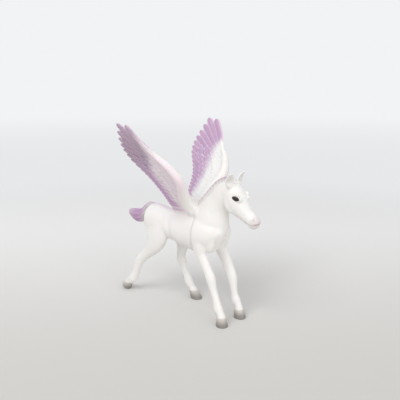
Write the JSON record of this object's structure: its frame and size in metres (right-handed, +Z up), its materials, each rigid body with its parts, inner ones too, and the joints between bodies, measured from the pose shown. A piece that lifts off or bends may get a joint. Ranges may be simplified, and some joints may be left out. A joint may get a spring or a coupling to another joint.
{
  "type": "toy winged foal figurine",
  "caption": "Small white toy foal with raised lilac feathered wings, moulded in one piece and standing on its hooves.",
  "frame": {"origin": "middle of the bounding box, on the ground under the hooves", "axes": "+Z up, +X the way the foal faces, +Y to its left"},
  "size_m": [0.093, 0.067, 0.0993],
  "materials": {
    "pearl_white_plastic": "satin painted soft plastic, white with lilac wing feathers and tail, grey hooves and black eyes"
  },
  "bodies": {
    "root": {"pegasus_foal": "pearl_white_plastic"}
  },
  "joints": []
}
